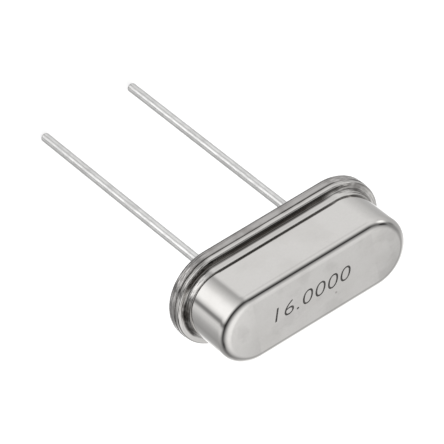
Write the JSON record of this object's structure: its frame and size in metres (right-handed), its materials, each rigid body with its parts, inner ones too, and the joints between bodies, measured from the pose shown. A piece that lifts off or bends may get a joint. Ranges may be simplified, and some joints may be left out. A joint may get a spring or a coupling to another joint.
{
  "type": "crystal oscillator",
  "caption": "Low-profile quartz crystal unit: an oval drawn metal can welded to a flanged header base, with straight round wire leads for a circuit board.",
  "frame": {"origin": "centre of the seating plane, which is the flat underside of the header base, midway between the leads", "axes": "+Z from the seating plane to the can's flat top, +X along the case through both leads, +Y across the case; the leads run down -Z"},
  "size_m": [0.011, 0.0046, 0.0175],
  "materials": {
    "can_metal": "smooth satin nickel plate",
    "base_metal": "satin nickel plate, a little duller than the can",
    "seal_glass": "dark glossy sealing glass",
    "tinned_wire": "satin tin with faint drawing lines",
    "clip_metal": "satin nickel silver sheet",
    "quartz": "polished clear quartz",
    "silver_film": "bright evaporated silver",
    "silver_adhesive": "dull silver-filled epoxy"
  },
  "bodies": {
    "root": {"can": "can_metal", "header_base": "base_metal", "glass_seal_left": "seal_glass", "glass_seal_right": "seal_glass", "lead_left": "tinned_wire", "lead_right": "tinned_wire", "spring_clip_left": "clip_metal", "spring_clip_right": "clip_metal", "quartz_blank": "quartz", "electrode_top": "silver_film", "electrode_bottom": "silver_film", "adhesive_left": "silver_adhesive", "adhesive_right": "silver_adhesive"}
  },
  "joints": []
}
